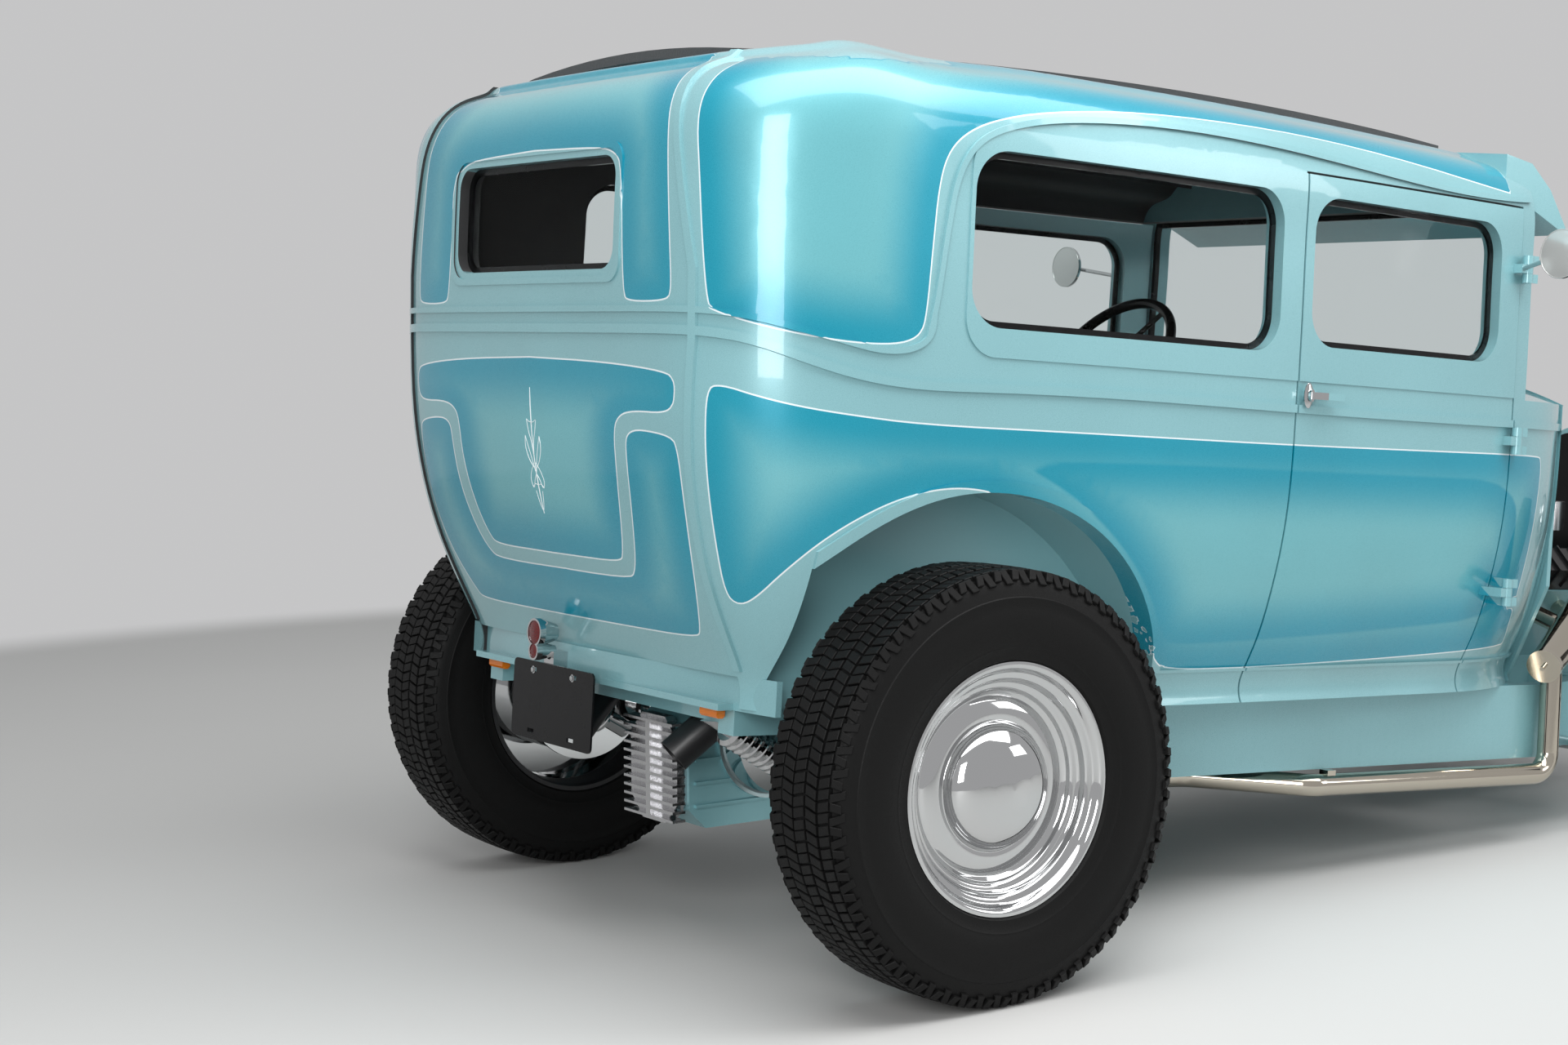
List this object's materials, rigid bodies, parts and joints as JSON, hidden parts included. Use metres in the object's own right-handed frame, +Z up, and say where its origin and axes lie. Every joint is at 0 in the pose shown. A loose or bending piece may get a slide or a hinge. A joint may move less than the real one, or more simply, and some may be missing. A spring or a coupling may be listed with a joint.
{
  "type": "closed two-door street rod sedan",
  "caption": "Closed two-door street rod sedan on a bare frame with open wheels, open engine, hinged doors, steered front wheels and a quick-change rear axle.",
  "frame": {"origin": "on the floor under the middle of the car's box", "axes": "+X forward, +Y to the car's left, +Z up"},
  "size_m": [3.5094, 1.67, 1.6996],
  "materials": {
    "body_paint": "glossy light teal metallic",
    "black_paint": "semi-gloss black",
    "chrome_trim": "polished",
    "polished_alloy": "polished",
    "tyre_rubber": "matt",
    "clear_glass": "clear",
    "black_leather": "satin",
    "roof_fabric": "grained",
    "red_lens": "glossy red",
    "amber_lens": "glossy amber"
  },
  "bodies": {
    "chassis": {"quarter_panel_left": "body_paint", "quarter_panel_right": "body_paint", "rear_panel": "body_paint", "cowl": "body_paint", "roof_insert": "roof_fabric", "roof_surround": "body_paint", "frame_rail_left": "body_paint", "frame_rail_right": "body_paint", "crossmembers": "body_paint", "floor_pan": "body_paint", "rear_apron": "body_paint", "fixed_glass": "clear_glass", "windshield": "clear_glass", "front_seat": "black_leather", "rear_seat": "black_leather", "dashboard": "body_paint", "steering_column": "black_paint", "engine_block": "body_paint", "engine_top": "polished_alloy", "exhaust_left": "black_paint", "exhaust_right": "black_paint", "rear_axle": "body_paint", "axle_cover": "polished_alloy", "rear_suspension": "chrome_trim", "transmission": "polished_alloy", "front_axle": "chrome_trim", "front_suspension": "chrome_trim", "grille_shell": "body_paint", "grille_insert": "chrome_trim", "radiator": "black_paint", "headlamps": "chrome_trim", "tail_lamp": "chrome_trim", "number_plate": "black_paint", "marker_lamps": "amber_lens"},
    "door_left": {"door_left": "body_paint", "door_glass_left": "clear_glass", "mirror_left": "black_paint"},
    "door_right": {"door_right": "body_paint", "door_glass_right": "clear_glass", "mirror_right": "black_paint"},
    "rear_wheel_left": {"rear_tyre_left": "tyre_rubber", "rear_wheel_left": "chrome_trim"},
    "rear_wheel_right": {"rear_tyre_right": "tyre_rubber", "rear_wheel_right": "chrome_trim"},
    "front_wheel_left": {"front_tyre_left": "tyre_rubber", "front_wheel_left": "chrome_trim"},
    "front_wheel_right": {"front_tyre_right": "tyre_rubber", "front_wheel_right": "chrome_trim"},
    "knuckle_left": {"knuckle_left": "chrome_trim"},
    "knuckle_right": {"knuckle_right": "chrome_trim"},
    "tie_rod": {"tie_rod": "chrome_trim"},
    "steering_wheel": {"steering_wheel": "black_paint"}
  },
  "joints": [
    {"name": "rear_wheel_left_spin", "type": "hinge", "parent": "chassis", "child": "rear_wheel_left", "pos_m": [-1.275, 0.73, 0.384], "axis": [0, 1, 0], "continuous": true},
    {"name": "rear_wheel_right_spin", "type": "hinge", "parent": "chassis", "child": "rear_wheel_right", "pos_m": [-1.275, -0.73, 0.384], "axis": [0, 1, 0], "continuous": true},
    {"name": "kingpin_left", "type": "hinge", "parent": "chassis", "child": "knuckle_left", "pos_m": [1.425, 0.59, 0.328], "axis": [0, 0, 1], "range_deg": [-25, 25]},
    {"name": "kingpin_right", "type": "hinge", "parent": "chassis", "child": "knuckle_right", "pos_m": [1.425, -0.59, 0.328], "axis": [0, 0, 1], "range_deg": [-25, 25]},
    {"name": "front_wheel_left_spin", "type": "hinge", "parent": "knuckle_left", "child": "front_wheel_left", "pos_m": [1.425, 0.702, 0.328], "axis": [0, 1, 0], "continuous": true},
    {"name": "front_wheel_right_spin", "type": "hinge", "parent": "knuckle_right", "child": "front_wheel_right", "pos_m": [1.425, -0.702, 0.328], "axis": [0, 1, 0], "continuous": true},
    {"name": "tie_rod_joint", "type": "hinge", "parent": "knuckle_left", "child": "tie_rod", "pos_m": [1.285, 0.59, 0.236], "axis": [0, 0, 1], "range_deg": [-25, 25]},
    {"name": "steering_wheel_turn", "type": "hinge", "parent": "chassis", "child": "steering_wheel", "pos_m": [-0.02565, 0.322, 1.08547], "axis": [-0.776, 0, 0.6307], "range_deg": [-450, 450]},
    {"name": "door_left_hinge", "type": "hinge", "parent": "chassis", "child": "door_left", "pos_m": [0.2878, 0.618, 0.92665], "axis": [-0.0715, 0, -0.9974], "range_deg": [0, 65]},
    {"name": "door_right_hinge", "type": "hinge", "parent": "chassis", "child": "door_right", "pos_m": [0.2878, -0.618, 0.92665], "axis": [0.0715, 0, 0.9974], "range_deg": [0, 65]}
  ],
  "couplings": [
    {"joint": "kingpin_right", "follows": "kingpin_left", "ratio": 1},
    {"joint": "tie_rod_joint", "follows": "kingpin_left", "ratio": -1},
    {"joint": "steering_wheel_turn", "follows": "kingpin_left", "ratio": 18}
  ]
}
